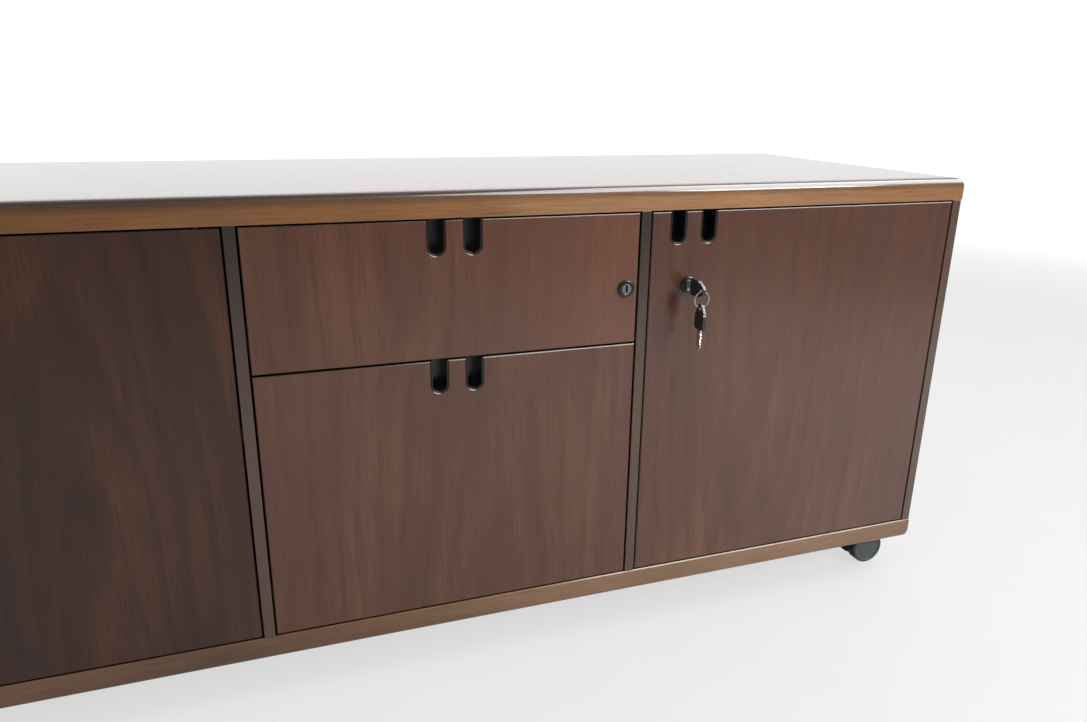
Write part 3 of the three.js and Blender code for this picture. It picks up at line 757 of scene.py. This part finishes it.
def build_lock(name, body, carrier):
    """Cam lock: turned rosette and barrel with a hexagon nut; plug with its keyway, cam and cam screw."""
    low, high = box_mm(f"{name}_lock_housing")
    x, z = (low.x + high.x) / 2, (low.z + high.z) / 2
    face = low.y
    front = face + rosette_proud
    place = about_y(x, z)
    bore = plug_radius + seat_gap
    inner_edge = [(bore, face + bore_chamfer), (bore + bore_chamfer, face)]
    outer_edge = [(reach, face + level) for reach, level in rosette_dome]
    seat = [(rosette_radius, front - seat_chamfer), (rosette_radius - seat_chamfer, front)]
    barrel = [(barrel_radius, front), (barrel_radius, front + barrel_end), (bore, front + barrel_end)]
    housing = Solid()
    housing.turn(inner_edge + outer_edge + seat + barrel + inner_edge[:1], place)
    nut = circle(0, 0, nut_radius, hexagon_sides)
    nut_low, nut_high = (front + level for level in nut_range)
    housing.sweep(nut, place, nut_low, nut_high, [circle(0, 0, barrel_radius)])
    housing.piece(f"{name}_rosette", lock_black, carrier, "black_metal", f"{name}_lock_housing",
                  arris=lock_arris)

    low, high = box_mm(f"{name}_lock_plug")
    plug_face = face + plug_setback
    width, height, depth = keyway
    cam_low = high.y - cam_thickness
    screw_low = high.y - cam_screw_height
    half = cam_width / 2 - cam_corner
    tip = low.z - z + cam_corner
    cam = arc(0, 0, plug_radius, *cam_round)
    cam += arc(-half, tip, cam_corner, 180, 270, cam_corner_steps)
    cam += arc(half, tip, cam_corner, 270, 360, cam_corner_steps)
    disc = circle(0, 0, plug_radius)
    plug = Solid()
    plug.sweep(disc, place, plug_face, plug_face + depth, [rectangle(width, height)])
    plug.sweep(disc, place, plug_face + depth, cam_low)
    plug.sweep(cam, place, cam_low, screw_low)
    plug.sweep(circle(0, 0, cam_screw_radius, hexagon_sides), place, screw_low, high.y)
    plug.piece(f"{name}_plug_and_cam", plug_nickel, body, "nickel", f"{name}_lock_plug", arris=lock_arris)


def build_key(name, body, along):
    """Key with a notched blade and a moulded head that ends in the ring's eye; along places its length."""
    half = blade_width / 2
    grip_start, shoulder = grip_range
    tang = shoulder - grip_corner
    slope = key_length - half
    blade = [(tang, -half), (tang, half), (slope, half), (key_length, tip_half)]
    blade += [(key_length, -tip_half), (slope + tip_half, -half)]
    count = len(notch_depths)
    pitch = (slope - shoulder) / (count + 1)
    for i, depth in zip(range(count, 0, -1), notch_depths):
        middle = shoulder + i * pitch
        blade += [(middle + notch_mouth, -half), (middle + notch_floor, depth - half)]
        blade += [(middle - notch_floor, depth - half), (middle - notch_mouth, -half)]
    steel = Solid()
    steel.sweep(blade, along, -blade_thickness / 2, blade_thickness / 2)
    steel.piece(f"{name}_steel", key_nickel, body, "nickel", f"{name}_blade", arris=blade_arris)

    head = rounded_rectangle(grip_start, shoulder, -grip_width / 2, grip_width / 2, grip_corner)
    grip = Solid()
    grip.sweep(head, along, -grip_thickness / 2, grip_thickness / 2)
    bmesh.ops.recalc_face_normals(grip.bm, faces=grip.bm.faces)
    flats = sorted(grip.bm.faces, key=lambda face: face.calc_area())[-2:]
    bmesh.ops.inset_individual(grip.bm, faces=flats, thickness=grip_rim * mm, depth=-grip_recess * mm)
    foot = grip_start + eye_overlap
    eye = arc(eye_radius, 0, eye_radius, *eye_round) + [(foot, eye_foot), (foot, -eye_foot)]
    hole = circle(eye_radius, 0, key_hole_radius)
    grip.sweep(eye, along, -eye_thickness / 2, eye_thickness / 2, [hole])
    grip.piece(f"{name}_grip", key_black, body, "black_plastic", f"{name}_head", arris=grip_arris)


def build_keys():
    """The key in the right door's lock, the split ring through its eye, and the spare key on the ring."""
    low, high = box_mm("key_blade")
    x, z, outer = (low.x + high.x) / 2, (low.z + high.z) / 2, low.y
    build_key("key", "door_right_lock", lambda a, b, level: Vector((x + level, outer + a, z + b)) * mm)
    low, high = box_mm("spare_key_blade")
    y, top = (low.y + high.y) / 2, high.z
    build_key("spare_key", "spare_key", lambda a, b, level: Vector((x + level, y + b, top - a)) * mm)
    low, high = box_mm("key_ring")
    middle = (low + high) / 2
    radius = (high.x - low.x - high.y + low.y) / 2
    ring = Solid()
    ring.coil(about_y(middle.x, middle.z, middle.y), radius, ring_wire, ring_turns, 2 * ring_wire)
    ring.piece("split_ring", key_nickel, "key_ring", "nickel", "key_ring")


def build_caster(name):
    """Twin-wheel caster: hood with a web between the wheels, and dished wheels with grooved treads."""
    body = f"caster_{name}"
    low, high = box_mm(f"{body}_wheels")
    x, y, z = (low + high) / 2
    radius = (high.z - low.z) / 2
    outer = (high.y - low.y) / 2
    place = about_y(x, z, y)
    inside = radius + hood_gap
    outside = inside + hood_thickness
    plate_low, plate_high = box_mm(f"{body}_plate")
    swivel = (plate_low + plate_high) / 2
    crown = box_mm(f"{body}_hood")[1].z
    fender = arc(0, 0, outside, hood_trail_angle, 180, hood_steps)
    fender += arc(0, 0, inside, 180, hood_trail_angle, hood_steps)
    web = [(0, 0)] + arc(0, 0, inside + web_overlap, hood_trail_angle, 180, hood_steps)
    hub = [(0, -web_half), (hub_radius, -web_half), (hub_radius, web_half), (0, web_half)]
    neck = [(0, z), (web_half, z), (web_half, crown - neck_chamfer)]
    neck += [(web_half - neck_chamfer, crown), (0, crown)]
    hood = Solid()
    hood.sweep(fender, place, -outer, outer)
    hood.sweep(web, place, -web_half, web_half)
    hood.turn(hub, place)
    hood.turn(neck, about_z(swivel.x, swivel.y))
    hood.piece(f"{body}_fender", hood_black, body, "hood_plastic", f"{body}_hood", arris=hood_arris)

    rim = radius - wheel_rim
    width = outer - web_half - hood_gap
    half = [(0, wheel_dish), (rim - rim_slope, wheel_dish), (rim, 0)]
    half += [(radius - drop, level) for drop, level in tread_shoulder]
    for start in tread_grooves:
        half += [(radius - drop, start + level) for drop, level in groove_profile]
    half += [(radius, width - tread_chamfer), (radius - tread_chamfer, width), (axle_radius, width)]
    near = [(reach, level - outer) for reach, level in half]
    far = [(reach, outer - level) for reach, level in reversed(half)]
    wheels = Solid()
    wheels.turn(near + far, place)
    wheels.piece(f"{body}_pair", wheel_grey, f"{body}_wheels", "wheel_plastic", f"{body}_wheels",
                 arris=wheel_arris)


def add_screw(solid, place, level, direction, proud=screw_height):
    """A screw head with a cross recess, seated at the level and rising in the direction."""
    shoulder = level + direction * screw_shoulder * proud
    top = level + direction * proud
    arm, thin = recess_reach * screw_radius, recess_half * screw_radius
    cross = [(arm, thin), (thin, thin), (thin, arm), (-thin, arm), (-thin, thin), (-arm, thin)]
    cross += [(-a, -b) for a, b in cross]
    solid.sweep(circle(0, 0, screw_radius, screw_sides), place, level, shoulder)
    solid.sweep(circle(0, 0, screw_crown * screw_radius, screw_sides), place, shoulder, top, [cross])


def build_carcass_screws():
    """Screws of the back panel, the caster plates and the hinge leaves let into the boards."""
    screws = Solid()
    low, high = box_mm("back_panel")
    span = high.x - low.x - 2 * back_screw_inset
    for z in (low.z + back_screw_inset, high.z - back_screw_inset):
        for i in range(back_screw_count):
            x = low.x + back_screw_inset + span * i / (back_screw_count - 1)
            add_screw(screws, about_y(x, z), high.y, 1)
    for name in caster_names:
        low, high = box_mm(f"caster_{name}_plate")
        middle = (low + high) / 2
        for dx in (-plate_screw_reach, plate_screw_reach):
            for dy in (-plate_screw_reach, plate_screw_reach):
                place = about_z(middle.x + dx, middle.y + dy)
                add_screw(screws, place, high.z - plate_thickness, -1)
    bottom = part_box("bottom_lipping")[1][2] / mm
    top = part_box("top_lipping")[0][2] / mm
    for side in ("left", "right"):
        low, high = box_mm(f"door_{side}_lower_leaf")
        for x in leaf_screw_places:
            place = about_z(low.x + x, (low.y + high.y) / 2)
            add_screw(screws, place, bottom, 1, leaf_screw_height)
            add_screw(screws, place, top, -1, leaf_screw_height)
    screws.piece("carcass_screws", zinc, "carcass", "zinc_steel", arris=screw_arris)


def build_drawer_screws(level):
    """Screws through the front wall of a drawer box into its front."""
    low, high = box_mm(f"drawer_{level}_box")
    screws = Solid()
    for x in (-drawer_screw_reach, drawer_screw_reach):
        for z in (low.z + drawer_screw_inset, high.z - drawer_screw_inset):
            add_screw(screws, about_y(x, z), low.y + box_wall, 1)
    screws.piece(f"drawer_{level}_screws", zinc, f"drawer_{level}", "zinc_steel", arris=screw_arris)


def aimed(place, aim):
    """The frame of a camera or lamp that looks from its place at the aim."""
    turn = (aim - place).to_track_quat("-Z", "Y").to_matrix().to_4x4()
    return Matrix.Translation(place) @ turn


def make_camera():
    data = bpy.data.cameras.new("photo_camera")
    data.sensor_fit = "HORIZONTAL"
    data.sensor_width = sensor_width
    data.lens = sensor_width * focal_pixels / photo_width
    data.clip_start = camera_near
    camera = bpy.data.objects.new("photo_camera", data)
    camera.matrix_world = aimed(camera_place, camera_aim) @ Matrix.Rotation(camera_roll, 4, "Z")
    scene.collection.objects.link(camera)
    scene.camera = camera


def make_area_light(name, place, size, watts, spread=True, mirrored=True):
    """A soft lamp that may be left out of the plain light or out of the mirrored light."""
    data = bpy.data.lights.new(name, "AREA")
    data.shape = "RECTANGLE"
    data.size, data.size_y = size
    data.energy = watts
    lamp = bpy.data.objects.new(name, data)
    lamp.matrix_world = aimed(place, light_aim)
    lamp.visible_camera = False
    lamp.visible_diffuse = spread
    lamp.visible_glossy = mirrored
    scene.collection.objects.link(lamp)


def backdrop_rays(g, vector, depth):
    """How far a point lies behind the object, and the rays that see the white backdrop there."""
    behind = g.reach(g.axis(vector, "Y"), 0.0, depth)
    rays = g.add("ShaderNodeLightPath", {}).outputs
    mirrored = g.math("MAXIMUM", rays["Is Glossy Ray"], rays["Is Transmission Ray"])
    return behind, g.math("MAXIMUM", rays["Is Camera Ray"], g.math("MULTIPLY", mirrored, behind))


def make_world():
    """White behind the object, dimmer above and in front, and plain white to the camera."""
    scene.world = bpy.data.worlds.new("studio")
    g = Graph(scene.world, "Background")
    direction = g.add("ShaderNodeTexCoord", {}).outputs["Generated"]
    behind, seen = backdrop_rays(g, direction, world_turn)
    level = g.weighted([(behind, world_back - world_front)], world_front)
    g.surface(Color=white, Strength=g.math("MAXIMUM", level, seen))


def make_floor():
    """A pale floor that glows for the camera and fades to plain white away from the object."""
    mesh = bpy.data.meshes.new("floor")
    half = 0.5 * floor_size
    corners = [(-half, -half, 0), (half, -half, 0), (half, half, 0), (-half, half, 0)]
    mesh.from_pydata(corners, [], [(0, 1, 2, 3)])
    floor = bpy.data.objects.new("floor", mesh)
    g = Graph(bpy.data.materials.new("pale_floor"))
    speckle = g.noise(g.place(scale=speckle_scale), speckle_detail, speckle_roughness)
    pale = g.mix(g.ramp(speckle, speckle_stops), floor_colour, floor_worn)
    diffuse = g.add("ShaderNodeLightPath", {}).outputs["Is Diffuse Ray"]
    pale = g.mix(diffuse, pale, shaded(floor_colour, floor_bounce))
    distance = g.add("ShaderNodeVectorMath", {0: g.place()}, operation="LENGTH").outputs["Value"]
    fade = g.reach(distance, fade_start, fade_end, interpolation_type="SMOOTHSTEP")
    glow = g.weighted([(fade, 1.0 - floor_glow)], floor_glow)
    glow = g.math("MULTIPLY", glow, backdrop_rays(g, g.place(), floor_turn)[1])
    dim = g.math("MULTIPLY", glow, floor_dim)
    g.surface(Base_Color=g.mix(dim, pale, black), Roughness=floor_roughness)
    g.surface(Emission_Color=white, Emission_Strength=glow, Specular_IOR_Level=floor_sheen)
    mesh.materials.append(g.owner)
    scene.collection.objects.link(floor)


scene.view_settings.view_transform = "Standard"
make_camera()
make_world()
make_area_light("key_light", key_light_place, key_light_size, key_light_watts)
make_area_light("window_light", window_light_place, window_light_size, window_light_watts)
make_area_light("card_light", card_light_place, card_light_size, card_light_watts, spread=False)
make_area_light("fill_light", fill_light_place, fill_light_size, fill_light_watts, mirrored=False)
make_floor()
dress_fronts()
dress_panels()
dress_lippings()
dress_hardware()
build_lock("door_left", "door_left_lock", "door_left")
build_lock("door_right", "door_right_lock", "door_right")
build_lock("drawer", "drawer_lock", "drawer_upper")
build_keys()
for caster in caster_names:
    build_caster(caster)
build_carcass_screws()
build_drawer_screws("upper")
build_drawer_screws("lower")
